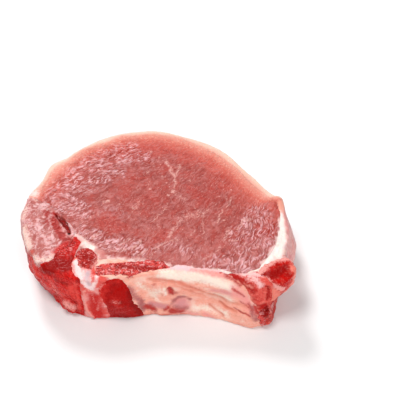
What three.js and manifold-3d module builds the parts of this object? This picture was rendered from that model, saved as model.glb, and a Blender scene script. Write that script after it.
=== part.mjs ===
// A thick bone-in pork loin chop, lying on one of its two cut faces.
// Lean, fat and bone are separate solids that run through the whole thickness.
// Millimetres, +Z up. The bone side faces -Y and the trimmed fat side faces +Y.
import * as THREE from "three";
import { mergeVertices } from "three/addons/utils/BufferGeometryUtils.js";
import Module from "manifold-3d";

const wasm = await Module();
wasm.setup();

// Driving sizes
const chopThickness = 28;
const seamGap = 0.3;
const edgeRound = 1.3;
const faceDome = 0.9;
const fatBulge = 1.6;
const ribWidth = 7;
const ribHeight = 11;
const slitDepth = 3;
const footDrop = 3.2;
const aboveChop = chopThickness + 6;
const belowChop = -6;

// How finely the outer surface is divided
const stepsAround = 112;
const faceRings = 6;
const wallRings = 7;
const cutterSteps = 44;
const shapeCentre = new THREE.Vector2(-2, 6);

// Outline of the upper cut face, anticlockwise from the left end along the bone side
const faceEdge = [
  [-62.4, 5], [-60.6, -4.5], [-57, -15.8], [-53.2, -22.2], [-44.7, -27], [-37.5, -30],
  [-28.6, -32.4], [-21, -31], [-7, -28.2], [10, -26.8], [27, -28.6], [40, -31.4],
  [52.5, -34], [58, -29], [59.2, -23.6], [55.6, -18.4], [56.2, -6], [56, 6],
  [54.6, 13.6], [50.4, 16.6], [40.5, 29.4], [27.5, 44], [11, 52.9], [-4, 56.8],
  [-20, 54.8], [-38.5, 45.1], [-52.4, 29.8], [-60.2, 13.2],
];

// How far the lower cut face reaches past the upper one on the bone side, by place along X
const boneSideFlare = [
  [-62, -4], [-54, -3.6], [-47, -1.2], [-40, 0.8], [-28, 1.8], [-20, 3.2], [-10, 4.2], [6, 4.4],
  [18, 4.6], [27, 5.2], [34, 6.6], [43, 7], [49, 2], [54, -2], [60, -5],
];

// Swellings (positive) and hollows of the side wall: place, reach along the wall and up it, amount
const wallForms = [
  { at: [-60, -6, 5], along: 17, up: 13, out: -2.4 },
  { at: [-45, -27, 16], along: 7, up: 11, out: 1.4 },
  { at: [-30, -32, 13], along: 3.4, up: 11, out: -1.4 },
  { at: [-17, -30, 13], along: 7, up: 11, out: 2.4 },
  { at: [-5, -28, 10], along: 4, up: 9, out: -1.8 },
  { at: [6, -27, 6], along: 7, up: 5, out: 1.2 },
  { at: [18, -27.5, 21.5], along: 15, up: 5, out: 2.6 },
  { at: [22, -28, 10], along: 9, up: 6, out: -1.2 },
  { at: [45, -33, 6], along: 7, up: 6, out: 1.8 },
  { at: [50, -33, 19], along: 4, up: 6, out: -1.4 },
  { at: [58, -26, 20], along: 6, up: 8, out: 2 },
  { at: [57, -26, 5], along: 7, up: 8, out: -2.4 },
  { at: [56, -16, 17], along: 3, up: 9, out: -1.8 },
  { at: [56, -4, 14], along: 11, up: 13, out: 3.8 },
  { at: [52, 15, 14], along: 5, up: 12, out: 1.4 },
];

// Rises (positive) and dips of the upper cut face: place, reach, amount
const faceForms = [
  { at: [-50, -5], reach: 10, rise: 0.9 },
  { at: [-42, 2], reach: 7, rise: -0.7 },
  { at: [54, -26], reach: 8, rise: 0.7 },
  { at: [20, 22], reach: 24, rise: 0.5 },
  { at: [-22, 16], reach: 20, rise: 0.4 },
  { at: [2, 6], reach: 12, rise: -0.5 },
];

// Plan outlines of the pieces; where one passes the outer surface it is cut by it
const loinEyeEdge = [
  [-54.6, 15.6], [-46, 6.4], [-37, -4], [-31, -12.2], [-23, -17], [-2, -20.8], [17, -24],
  [32, -27.6], [41, -27.4], [49.6, -16], [53.2, -2], [52.6, 10.6], [42.2, 22.6],
  [27, 40.4], [12.5, 49.6], [-3.6, 53.6], [-21, 51], [-38, 42.2], [-50.4, 29.4],
];
const spineMuscleEdge = [
  [-70, 13], [-72, -6], [-68, -24], [-57.5, -22], [-50, -22.9], [-45.8, -20.6], [-43, -15.6],
  [-38.6, -11], [-38.2, -5.6], [-46.4, 4.8], [-54.6, 12.4],
];
const processBoneEdge = [
  [-35.4, -17], [-34.6, -24.2], [-30, -26.4], [-27.6, -24], [-26.2, -20], [-31, -15.6],
];
const archBoneEdge = [
  [-34.2, -11.4], [-36.4, -18], [-37, -27], [-33, -33], [-32, -50], [-72, -50], [-72, -15],
  [-58, -14.6], [-48, -13], [-38.6, -8.6],
];
const archFootEdge = [
  [-44, -15], [-40, -22], [-38, -50], [-72, -50], [-72, -15.4], [-58, -15], [-50, -17.5],
];
const canalEdge = [
  [-36, -19.5], [-37.2, -28.2], [-33.8, -31], [-33, -37], [-33, -50], [-20.4, -50],
  [-20.4, -31], [-25.6, -30], [-27.4, -26], [-29, -19.5],
];
const flankMeatEdge = [
  [42.4, -27.8], [47.6, -31.8], [54, -40], [70, -42], [70, -21.6], [57, -19.8], [49.4, -22.6],
];
const intercostalEdge = [
  [24, -27.4], [32, -29.4], [39, -33.4], [46, -38.4], [51, -50], [76, -50], [76, -24],
  [54, -22], [43, -27.6], [33, -28],
];
const ribLiningEdge = [
  [-34, -23.5], [-34, -50], [60, -50], [52, -30], [34, -28.6], [20, -26], [0, -23.8],
];
const slitEdge = [
  [-47.6, 4.6], [-46, 1], [-42, -5], [-39.6, -8.4], [-39.4, -5.4], [-42.6, 0.6],
];

// The sawn half of the vertebra, as seen from the bone side: X along, Z up
const vertebraFace = [
  [-23, -5], [-22.4, 4], [-23.8, 13], [-25.6, 20.6], [-24.6, 25], [-20.4, 26.8], [-16.4, 26.2],
  [-13.8, 21.6], [-12, 14], [-8.8, 5], [-7, -5],
];
const vertebraDepth = [-26.6, -48];

// Centre line of the rib, from the spine to its cut end at the lower right
const ribPath = [
  [-26.6, -27.2, 24.4], [-12, -25.2, 25.2], [2, -23.4, 22.4], [18, -24, 16.6], [33, -28, 11],
  [45, -34.6, 7.6], [54, -44, 6],
];

// Turns a closed list of points into evenly spaced points on one smooth loop.
function smoothLoop(points, count) {
  const knots = points.map(([x, y]) => new THREE.Vector3(x, y, 0));
  const curve = new THREE.CatmullRomCurve3(knots, true, "centripetal");
  return curve
    .getSpacedPoints(count)
    .slice(0, count)
    .map((p) => new THREE.Vector2(p.x, p.y));
}

// Outward normals of an anticlockwise loop, taken over a few steps so that they turn gently.
function loopNormals(loop, span) {
  const n = loop.length;
  return loop.map((_, i) => {
    const along = loop[(i + span) % n].clone().sub(loop[(i - span + n) % n]);
    return new THREE.Vector2(along.y, -along.x).normalize();
  });
}

function grownLoop(loop, distance) {
  const sense = THREE.ShapeUtils.isClockWise(loop) ? -1 : 1;
  const normals = loopNormals(loop, 1);
  return loop.map((p, i) => p.clone().addScaledVector(normals[i], distance * sense));
}

// Straight interpolation in a list of [place, value] pairs.
function valueAt(pairs, place) {
  const last = pairs.length - 1;
  if (place <= pairs[0][0]) return pairs[0][1];
  if (place >= pairs[last][0]) return pairs[last][1];
  const i = pairs.findIndex(([x]) => x > place) - 1;
  const [x0, v0] = pairs[i];
  const [x1, v1] = pairs[i + 1];
  return v0 + ((v1 - v0) * (place - x0)) / (x1 - x0);
}

const bell = (q) => Math.exp(-q * q);

// The slight unevenness of cut meat
function unevenness(x, y, z) {
  const slow = Math.sin(x * 0.15 + 1.3) * Math.cos(y * 0.14 - z * 0.11);
  const quick = Math.sin(x * 0.27 - y * 0.23 + z * 0.31 + 0.6);
  return 0.3 * slow + 0.12 * quick;
}

function wallOffset(point, height) {
  const drop = 1 - height / chopThickness;
  const boneSide = THREE.MathUtils.smoothstep(-point.y, 12, 24);
  const flare = valueAt(boneSideFlare, point.x) * boneSide * drop;
  const bulge = fatBulge * (1 - boneSide) * Math.sin(Math.PI * drop);
  const forms = wallForms.reduce((sum, form) => {
    const [x, y, z] = form.at;
    const alongWall = Math.hypot(point.x - x, point.y - y) / form.along;
    return sum + form.out * bell(alongWall) * bell((height - z) / form.up);
  }, 0);
  return flare + bulge + forms;
}

function faceHeight(x, y, share) {
  const forms = faceForms.reduce((sum, form) => {
    const reach = Math.hypot(x - form.at[0], y - form.at[1]) / form.reach;
    return sum + form.rise * bell(reach);
  }, 0);
  const inside = 1 - share ** 4;
  return chopThickness + (faceDome + forms) * inside + unevenness(x, y, 0);
}

// One ring of the outer wall at a height, drawn in by an amount
function wallRing(loop, normals, height, inset) {
  return loop.map((p, i) => {
    const ripple = unevenness(p.x, p.y, height);
    const out = wallOffset(p, height) + ripple - inset;
    const at = p.clone().addScaledVector(normals[i], out);
    return [at.x, at.y, height];
  });
}

// The whole chop as one closed surface: upper face, wall, flat lower face
function wholeChop() {
  const loop = smoothLoop(faceEdge, stepsAround);
  const normals = loopNormals(loop, 3);
  const rings = [];
  const brim = wallRing(loop, normals, chopThickness, edgeRound);
  for (let k = 1; k <= faceRings; k += 1) {
    const share = (k / faceRings) ** 0.85;
    rings.push(
      brim.map(([bx, by]) => {
        const x = shapeCentre.x + (bx - shapeCentre.x) * share;
        const y = shapeCentre.y + (by - shapeCentre.y) * share;
        return [x, y, faceHeight(x, y, share)];
      }),
    );
  }
  for (let k = 0; k <= wallRings; k += 1) {
    const turn = (Math.PI * (k + 0.5)) / (wallRings + 1);
    const height = (chopThickness * (1 + Math.cos(turn) * 0.96)) / 2;
    const nearEdge = Math.min(height, chopThickness - height) / edgeRound;
    const inset = edgeRound * 0.5 * Math.max(0, 1 - nearEdge) ** 2;
    rings.push(wallRing(loop, normals, height, inset));
  }
  rings.push(wallRing(loop, normals, 0, edgeRound));

  const top = [shapeCentre.x, shapeCentre.y, faceHeight(shapeCentre.x, shapeCentre.y, 0)];
  const under = [shapeCentre.x, shapeCentre.y, 0];
  const points = [top, ...rings.flat(), under];
  const triangles = [];
  const at = (ring, i) => 1 + ring * stepsAround + (i % stepsAround);
  const lastRing = rings.length - 1;
  for (let i = 0; i < stepsAround; i += 1) {
    triangles.push(0, at(0, i), at(0, i + 1));
    for (let ring = 0; ring < lastRing; ring += 1) {
      triangles.push(at(ring, i), at(ring + 1, i), at(ring + 1, i + 1));
      triangles.push(at(ring, i), at(ring + 1, i + 1), at(ring, i + 1));
    }
    triangles.push(points.length - 1, at(lastRing, i + 1), at(lastRing, i));
  }
  const geometry = new THREE.BufferGeometry();
  geometry.setAttribute("position", new THREE.Float32BufferAttribute(points.flat(), 3));
  geometry.setIndex(triangles);
  return geometry;
}

// A closed three.js geometry as a solid that can be joined and cut
function solidFrom(geometry) {
  const bare = geometry.clone();
  bare.deleteAttribute("normal");
  bare.deleteAttribute("uv");
  const merged = mergeVertices(bare, 1e-4);
  return new wasm.Manifold(
    new wasm.Mesh({
      numProp: 3,
      vertProperties: new Float32Array(merged.attributes.position.array),
      triVerts: new Uint32Array(merged.index.array),
    }),
  );
}

function geometryFrom(solid) {
  const { vertProperties, triVerts } = solid.getMesh();
  const geometry = new THREE.BufferGeometry();
  geometry.setAttribute("position", new THREE.Float32BufferAttribute(vertProperties, 3));
  geometry.setIndex(new THREE.Uint32BufferAttribute(triVerts, 1));
  return geometry;
}

// An upright cutter over a plan outline, between two heights
function uprightCutter(edge, low = belowChop, high = aboveChop) {
  return (grow) => {
    const shape = new THREE.Shape(grownLoop(smoothLoop(edge, cutterSteps), grow));
    const geometry = new THREE.ExtrudeGeometry(shape, {
      depth: high - low + 2 * grow,
      bevelEnabled: false,
    });
    geometry.translate(0, 0, low - grow);
    return solidFrom(geometry);
  };
}

// A level cutter over an outline seen from the bone side, between two depths
function levelCutter(edge, [near, far]) {
  return (grow) => {
    const shape = new THREE.Shape(grownLoop(smoothLoop(edge, cutterSteps), grow));
    const geometry = new THREE.ExtrudeGeometry(shape, {
      depth: near - far + 2 * grow,
      bevelEnabled: false,
    });
    geometry.rotateX(Math.PI / 2);
    geometry.translate(0, near + grow, 0);
    return solidFrom(geometry);
  };
}

// The rib, a flattened rod that sinks into the chop from left to right
function ribCutter(grow) {
  const section = new THREE.Shape();
  section.absellipse(0, 0, ribHeight / 2 + grow, ribWidth / 2 + grow, 0, Math.PI * 2);
  const path = new THREE.CatmullRomCurve3(ribPath.map((p) => new THREE.Vector3(...p)));
  const geometry = new THREE.ExtrudeGeometry(section, {
    steps: 26,
    curveSegments: 8,
    bevelEnabled: false,
    extrudePath: path,
  });
  return solidFrom(geometry);
}

// The largest body of a solid; loose scraps are dropped
function mainBody(solid) {
  const bodies = solid.decompose();
  return bodies.reduce((best, body) => (body.volume() > best.volume() ? body : best));
}

const finishes = {
  lean: { color: 0xbb5d56, roughness: 0.42 },
  paleLean: { color: 0xdb9793, roughness: 0.45 },
  fat: { color: 0xfbe4d8, roughness: 0.5 },
  marrow: { color: 0xbe3936, roughness: 0.5 },
  sawnBone: { color: 0xa21613, roughness: 0.4 },
  lining: { color: 0xf7b49f, roughness: 0.35 },
  gristle: { color: 0xf0b8b4, roughness: 0.35 },
  redMeat: { color: 0xbd1815, roughness: 0.38 },
};

const group = new THREE.Group();
let rest = solidFrom(wholeChop());

function addPiece(name, finish, solid) {
  const material = new THREE.MeshStandardMaterial({ ...finishes[finish], metalness: 0 });
  const mesh = new THREE.Mesh(geometryFrom(solid), material);
  mesh.name = name;
  group.add(mesh);
}

// Takes one piece out of what is left of the chop and keeps the seam gap round it.
function carve(name, finish, cutter, hollow) {
  const piece = rest.intersect(cutter(-seamGap / 2));
  rest = rest.subtract(cutter(seamGap / 2));
  addPiece(name, finish, mainBody(hollow ? piece.subtract(hollow) : piece));
}

const slit = uprightCutter(slitEdge, chopThickness - slitDepth)(0);

// The small muscle lies over the foot of the arch bone.
const spineMuscle = (grow) => {
  const foot = uprightCutter(archFootEdge, belowChop, chopThickness - footDrop);
  return uprightCutter(spineMuscleEdge)(grow).subtract(foot(-grow));
};

carve("rib_bone", "marrow", ribCutter);
carve("loin_eye", "lean", uprightCutter(loinEyeEdge));
carve("spine_muscle", "paleLean", spineMuscle, slit);
carve("process_bone", "marrow", uprightCutter(processBoneEdge));
carve("vertebra_bone", "sawnBone", levelCutter(vertebraFace, vertebraDepth));
carve("canal_lining", "gristle", uprightCutter(canalEdge));
carve("arch_bone", "marrow", uprightCutter(archBoneEdge));
carve("flank_meat", "redMeat", uprightCutter(flankMeatEdge, chopThickness - 13));
carve("intercostal_meat", "redMeat", uprightCutter(intercostalEdge));
carve("rib_lining", "lining", uprightCutter(ribLiningEdge));
addPiece("fat_cap", "fat", mainBody(rest));

// The origin is the middle of the lower face's surrounding box.
const box = new THREE.Box3().setFromObject(group);
const middle = box.getCenter(new THREE.Vector3());
group.position.set(-middle.x, -middle.y, -box.min.z);

export default group;
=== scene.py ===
import math

import bpy
import numpy as np
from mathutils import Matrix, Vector, noise
from mathutils.bvhtree import BVHTree


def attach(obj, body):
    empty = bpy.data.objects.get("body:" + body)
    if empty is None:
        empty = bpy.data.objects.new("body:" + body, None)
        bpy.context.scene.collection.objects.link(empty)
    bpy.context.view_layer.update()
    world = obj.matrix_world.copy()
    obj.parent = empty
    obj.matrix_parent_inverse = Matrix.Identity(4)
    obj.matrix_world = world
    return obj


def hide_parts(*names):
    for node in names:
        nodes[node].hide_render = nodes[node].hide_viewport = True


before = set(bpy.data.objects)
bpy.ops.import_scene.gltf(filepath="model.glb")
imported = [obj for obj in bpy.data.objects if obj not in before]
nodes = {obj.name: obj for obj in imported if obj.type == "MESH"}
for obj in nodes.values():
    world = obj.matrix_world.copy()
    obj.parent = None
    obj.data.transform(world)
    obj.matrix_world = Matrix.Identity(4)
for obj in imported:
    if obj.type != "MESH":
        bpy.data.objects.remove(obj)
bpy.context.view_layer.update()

mm = 0.001
print("chop: solids loaded,", len(nodes), "nodes")

# Helpers for meshes. Points are counted in millimetres.


def makeActive(piece):
    bpy.ops.object.select_all(action="DESELECT")
    piece.select_set(True)
    bpy.context.view_layer.objects.active = piece


def applyModifier(piece, kind, **values):
    makeActive(piece)
    modifier = piece.modifiers.new(kind.lower(), kind)
    for key, value in values.items():
        setattr(modifier, key, value)
    bpy.ops.object.modifier_apply(modifier=modifier.name)


def readPoints(piece):
    points = np.empty(len(piece.data.vertices) * 3, np.float32)
    piece.data.vertices.foreach_get("co", points)
    return points.reshape(-1, 3).astype(float) / mm


def readNormals(piece):
    normals = np.empty(len(piece.data.vertices) * 3, np.float32)
    piece.data.vertices.foreach_get("normal", normals)
    return normals.reshape(-1, 3).astype(float)


def writePoints(piece, points):
    piece.data.vertices.foreach_set("co", (points * mm).astype(np.float32).ravel())
    piece.data.update()


def smoothStep(value, low, high):
    t = np.clip((value - low) / (high - low), 0, 1)
    return t * t * (3 - 2 * t)


# Soft noise, about -1 to 1; size is the width of a lump
def softNoise(points, size, seed=0):
    places = (points / size + seed * 7.31).tolist()
    return 1.6 * np.array([noise.noise(place) for place in places])


def layeredNoise(points, size, seed=0, layers=3):
    total = np.zeros(len(points))
    for layer in range(layers):
        total += softNoise(points, size / 2**layer, seed + layer) / 2**layer
    return total / 1.5


# Distance from each point to a path of spots, given on the upper face (x, y) or in space
def distanceTo(points, path):
    spots = np.array(path, float)
    flat = points[:, : spots.shape[1]]
    ends = spots[1:] if len(spots) > 1 else spots
    nearest = np.full(len(points), 1e6)
    for a, b in zip(spots, ends):
        along = b - a
        share = (flat - a) @ along / max(along @ along, 1e-9)
        spot = a + np.clip(share, 0, 1)[:, None] * along
        nearest = np.minimum(nearest, np.linalg.norm(flat - spot, axis=1))
    return nearest


# How near each point is to a set of strokes: the stroke's strength on its line, 0 at its reach
# and negative beyond. A stroke is (reach, strength, path). The brush wanders a little.
def brush(points, strokes, wander=0.35, seed=3):
    shaken = points.copy()
    for axis in range(3):
        shaken[:, axis] += wander * softNoise(points, 2.2, seed + 5 * axis)
    closeness = np.full(len(points), -0.6)
    for reach, strength, path in strokes:
        near = strength * (1 - distanceTo(shaken, path) / reach)
        closeness = np.maximum(closeness, near)
    return closeness


def cover(closeness):
    return smoothStep(closeness, 0, 0.85)


def paint(piece, name, values):
    layer = piece.data.attributes.new(name, "FLOAT", "POINT")
    layer.data.foreach_set("value", values.astype(np.float32))


def paintPlaces(piece, name, places):
    layer = piece.data.attributes.new(name, "FLOAT_VECTOR", "POINT")
    layer.data.foreach_set("vector", places.astype(np.float32).ravel())


# Pieces start as copies of the solids
nodeTrees = {}
for name, node in nodes.items():
    spots = [v.co.copy() for v in node.data.vertices]
    nodeTrees[name] = BVHTree.FromPolygons(spots, [tuple(p.vertices) for p in node.data.polygons])


def copyOfNode(nodeName, pieceName):
    piece = bpy.data.objects.new(pieceName, nodes[nodeName].data.copy())
    bpy.context.collection.objects.link(piece)
    piece.data.materials.clear()
    makeActive(piece)
    bpy.ops.object.mode_set(mode="EDIT")
    bpy.ops.mesh.select_all(action="SELECT")
    bpy.ops.mesh.remove_doubles(threshold=0.00001)
    bpy.ops.object.mode_set(mode="OBJECT")
    return piece


# Grows a piece into the hairline seams round it, so that neighbours meet with no dark crack
def closeSeams(piece, nodeName, grow=0.6 * mm):
    trees = [tree for name, tree in nodeTrees.items() if name != nodeName]
    corners = piece.data.vertices
    pushes = {}
    for face in piece.data.polygons:
        for index in face.vertices:
            start = corners[index].co.lerp(face.center, 0.08) + face.normal * 0.00002
            if any(tree.ray_cast(start, face.normal, 0.7 * mm)[0] for tree in trees):
                pushes[index] = pushes.get(index, Vector()) + face.normal * math.sqrt(face.area)
    for index, push in pushes.items():
        corners[index].co += push.normalized() * grow


# Even small faces all over, and twice as fine on the upper face where fineAbove is given
def refine(piece, voxel, smoothing, fineAbove=None):
    applyModifier(piece, "REMESH", mode="VOXEL", voxel_size=voxel * mm)
    applyModifier(piece, "SMOOTH", factor=0.5, iterations=smoothing)
    makeActive(piece)
    if fineAbove:
        bpy.ops.object.mode_set(mode="EDIT")
        bpy.ops.mesh.select_all(action="DESELECT")
        bpy.ops.object.mode_set(mode="OBJECT")
        heights = np.empty(len(piece.data.polygons) * 3, np.float32)
        piece.data.polygons.foreach_get("center", heights)
        picked = heights.reshape(-1, 3)[:, 2] > fineAbove * mm
        piece.data.polygons.foreach_set("select", picked)
        bpy.ops.object.mode_set(mode="EDIT")
        bpy.ops.mesh.subdivide(number_cuts=1, smoothness=0.0)
        bpy.ops.object.mode_set(mode="OBJECT")
    bpy.ops.object.shade_smooth()


# Moves each point along the surface's own direction; the flat underside stays flat
def raiseSurface(piece, rise):
    points, normals = readPoints(piece), readNormals(piece)
    underside = (normals[:, 2] < -0.6) & (points[:, 2] < 1.5)
    moved = points + normals * np.where(underside, 0, rise)[:, None]
    moved[:, 2] = np.maximum(moved[:, 2], 0)
    writePoints(piece, moved)


# Relief from noise lumps (width, height, seed) and from strokes (reach, height, path)
def relief(points, lumpList, strokes=(), wander=0.3):
    rise = np.zeros(len(points))
    for size, height, seed in lumpList:
        rise += height * layeredNoise(points, size, seed, 2)
    shaken = points.copy()
    for axis in range(3):
        shaken[:, axis] += wander * layeredNoise(points, 3, 60 + 5 * axis)
    for reach, height, path in strokes:
        rise += height * smoothStep(reach - distanceTo(shaken, path), 0, reach)
    return rise


# Thin ridges: high where the noise crosses zero
def ridged(points, size, seed):
    return 1 - np.clip(np.abs(softNoise(points, size, seed)) * 2.2, 0, 1)


# Last pulls on the outline, shared by all pieces so that the seams stay shut: (reach, shift, spot)
pulls = [
    (13, (-4.5, 1, 0), (57, -41, 8)), (13, (-2.5, -1.5, 0), (-54, -33, 16)),
    (10, (-1.5, 1.5, 0), (-50, 24, 25)),
    (7, (-1.5, 0.5, 0), (-59, 8, 26)), (15, (0, 1.5, 0), (-20, -45, 0)), (9, (0, 1.5, 0), (44, -51, 0)),
    (6, (-1, -1, 0), (-41, -40, 5)),
]


def pullOutline(piece):
    points = readPoints(piece)
    for reach, shift, spot in pulls:
        gap = np.linalg.norm(points - spot, axis=1)
        points += smoothStep(reach - gap, 0, reach)[:, None] * np.array(shift)
    writePoints(piece, points)


def finishPiece(piece, nodeName, material):
    pullOutline(piece)
    piece.data.materials.append(material)
    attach(piece, "root")
    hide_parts(nodeName)
    print("chop:", piece.name, sum(len(face.vertices) - 2 for face in piece.data.polygons), "triangles")


# Helpers for materials


def newMaterial(name):
    material = bpy.data.materials.new(name)
    material.use_nodes = True
    material.node_tree.nodes.clear()
    return material


def addNode(tree, kind, inputs=None, **settings):
    node = tree.nodes.new(kind)
    for key, value in settings.items():
        setattr(node, key, value)
    for key, value in (inputs or {}).items():
        if isinstance(value, bpy.types.NodeSocket):
            tree.links.new(value, node.inputs[key])
        else:
            node.inputs[key].default_value = value
    return node


def painted(tree, name):
    return addNode(tree, "ShaderNodeAttribute", attribute_name=name).outputs["Fac"]


def paintedPlaces(tree, name):
    return addNode(tree, "ShaderNodeAttribute", attribute_name=name).outputs["Vector"]


def maths(tree, operation, a, b=0.0):
    return addNode(tree, "ShaderNodeMath", {0: a, 1: b}, operation=operation).outputs[0]


def times(tree, a, b):
    return maths(tree, "MULTIPLY", a, b)


def ranged(tree, value, low, high, toLow=0.0, toHigh=1.0):
    sockets = {"Value": value, "From Min": low, "From Max": high, "To Min": toLow, "To Max": toHigh}
    return addNode(tree, "ShaderNodeMapRange", sockets, interpolation_type="SMOOTHSTEP").outputs[0]


# Where the painted strokes lie, with their edges broken up by fine noise
def frayed(tree, name, speckle, amount=0.8, most=1.0):
    broken = maths(tree, "ADD", painted(tree, name), times(tree, speckle, amount))
    return ranged(tree, broken, 0.5 * amount, 0.85 + 0.5 * amount, 0, most)


# Colour layers over a base, each with how much of it shows
def layered(tree, base, *layers):
    for cover, colour in layers:
        base = base if isinstance(base, bpy.types.NodeSocket) else (*base, 1)
        inputs = {0: cover, 6: base, 7: (*colour, 1)}
        base = addNode(tree, "ShaderNodeMix", inputs, data_type="RGBA").outputs[2]
    return base


# Object coordinates counted in millimetres
def inMillimetres(tree):
    place = addNode(tree, "ShaderNodeTexCoord").outputs["Object"]
    sockets = {"Vector": place, "Scale": (1000, 1000, 1000)}
    return addNode(tree, "ShaderNodeMapping", sockets).outputs["Vector"]


def stretched(tree, place, stretch):
    if stretch == (1, 1, 1):
        return place
    return addNode(tree, "ShaderNodeMapping", {"Vector": place, "Scale": stretch}).outputs["Vector"]


# Noise whose lumps are about size millimetres wide, longer where stretch is under 1
def lumps(tree, place, size, detail=3.0, roughness=0.55, stretch=(1, 1, 1), twist=0.0):
    sockets = {"Vector": stretched(tree, place, stretch), "Scale": 1 / size, "Detail": detail}
    sockets.update({"Roughness": roughness, "Distortion": twist})
    return addNode(tree, "ShaderNodeTexNoise", sockets).outputs["Fac"]


def cells(tree, place, size):
    return addNode(tree, "ShaderNodeTexVoronoi", {"Vector": place, "Scale": 1 / size}).outputs["Distance"]


def wetSurface(tree, colour, roughness, height, depth, softness=0.3, gloss=0.25):
    bump = addNode(tree, "ShaderNodeBump", {"Strength": 1.0, "Distance": depth * mm, "Height": height})
    shader = addNode(tree, "ShaderNodeBsdfPrincipled")
    tree.links.new(colour, shader.inputs["Base Color"])
    tree.links.new(roughness, shader.inputs["Roughness"])
    tree.links.new(bump.outputs["Normal"], shader.inputs["Normal"])
    shader.inputs["Specular IOR Level"].default_value = gloss
    shader.inputs["Subsurface Weight"].default_value = softness
    shader.inputs["Subsurface Radius"].default_value = (1.0, 0.35, 0.25)
    shader.inputs["Subsurface Scale"].default_value = 1.5 * mm
    output = addNode(tree, "ShaderNodeOutputMaterial")
    tree.links.new(shader.outputs["BSDF"], output.inputs["Surface"])


# Camera, light and floor
view = {
    "lookDown": 50,  # degrees
    "lens": 100,
    "place": (0.01878, -0.32131, 0.4149),
    "floorColour": (0.9, 0.9, 0.9),
    "airLight": 0.33,
}
lights = {
    "backSoftbox": {"place": (-0.28, 0.62, 0.78), "aim": (0, 0, 0.02), "size": 0.3, "power": 5.5},
    "frontFill": {"place": (0.35, -0.75, 0.55), "aim": (0, 0, 0.01), "size": 0.5, "power": 3.6},
    "topLight": {"place": (-0.25, -0.1, 1.0), "aim": (0, 0, 0), "size": 0.35, "power": 4.0},
}

cameraData = bpy.data.cameras.new("studioCamera")
cameraData.lens = view["lens"]
cameraData.sensor_width = 36
camera = bpy.data.objects.new("studioCamera", cameraData)
bpy.context.collection.objects.link(camera)
camera.location = view["place"]
camera.rotation_euler = (math.radians(90 - view["lookDown"]), 0, 0)
bpy.context.scene.camera = camera

bpy.ops.object.select_all(action="DESELECT")
bpy.ops.mesh.primitive_plane_add(size=4, location=(0, 0, 0))
floor = bpy.context.active_object
floor.name = "studioFloor"
paleFloor = newMaterial("paleFloor")
tree = paleFloor.node_tree
floorLook = {"Base Color": (*view["floorColour"], 1), "Roughness": 0.8}
floorShader = addNode(tree, "ShaderNodeBsdfPrincipled", floorLook)
addNode(tree, "ShaderNodeOutputMaterial", {"Surface": floorShader.outputs["BSDF"]})
floor.data.materials.append(paleFloor)

for name, light in lights.items():
    lampData = bpy.data.lights.new(name, "AREA")
    lampData.shape = "DISK"
    lampData.size = light["size"]
    lampData.energy = light["power"]
    lamp = bpy.data.objects.new(name, lampData)
    bpy.context.collection.objects.link(lamp)
    lamp.location = light["place"]
    away = Vector(light["place"]) - Vector(light["aim"])
    lamp.rotation_euler = away.to_track_quat("Z", "Y").to_euler()

world = bpy.data.worlds.new("studioAir")
bpy.context.scene.world = world
world.use_nodes = True
world.node_tree.nodes["Background"].inputs["Color"].default_value = (1, 1, 1, 1)
world.node_tree.nodes["Background"].inputs["Strength"].default_value = view["airLight"]
bpy.context.scene.view_settings.view_transform = "Standard"
print("chop: camera, light and floor set")

# The outer edge of the upper face, from the right end over the top to the left end
outerEdge = [
    (56, 4), (51, 7), (41, 20), (28, 34.5), (12, 43.5),
    (-3, 47), (-19, 45), (-38, 35.5), (-51.5, 20), (-58, 8),
]


# 0 at the outer edge, 1 where its cream and orange tint has faded into the lean
def rimFade(points):
    width = 9.5 + 3 * smoothStep(points[:, 0], -25, 10) + 1.2 * layeredNoise(points, 7, 21)
    lowerRight = smoothStep(points[:, 0], 44, 52) * smoothStep(-points[:, 1], -6, 4)
    return np.clip(distanceTo(points, outerEdge) / width + lowerRight, 0, 1)


# Places that run along and across the fibre bundles, which lean towards a spot past the upper right
fibreAim = (77, 77)


def grainPlaces(points):
    away = points[:, :2] - fibreAim
    along = np.linalg.norm(away, axis=1)
    across = 110 * np.arctan2(away[:, 1], away[:, 0])
    across += 0.9 * softNoise(points, 6, 27) + 0.45 * softNoise(points, 2.5, 28)
    reach, amount, path = lean["tangle"]
    tangle = amount * smoothStep(reach - distanceTo(points, path), 0, 8)
    across += tangle * softNoise(points, 3.4, 29)
    along += tangle * softNoise(points, 3.4, 30)
    return np.stack([along, across, points[:, 2]], axis=1)


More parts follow.
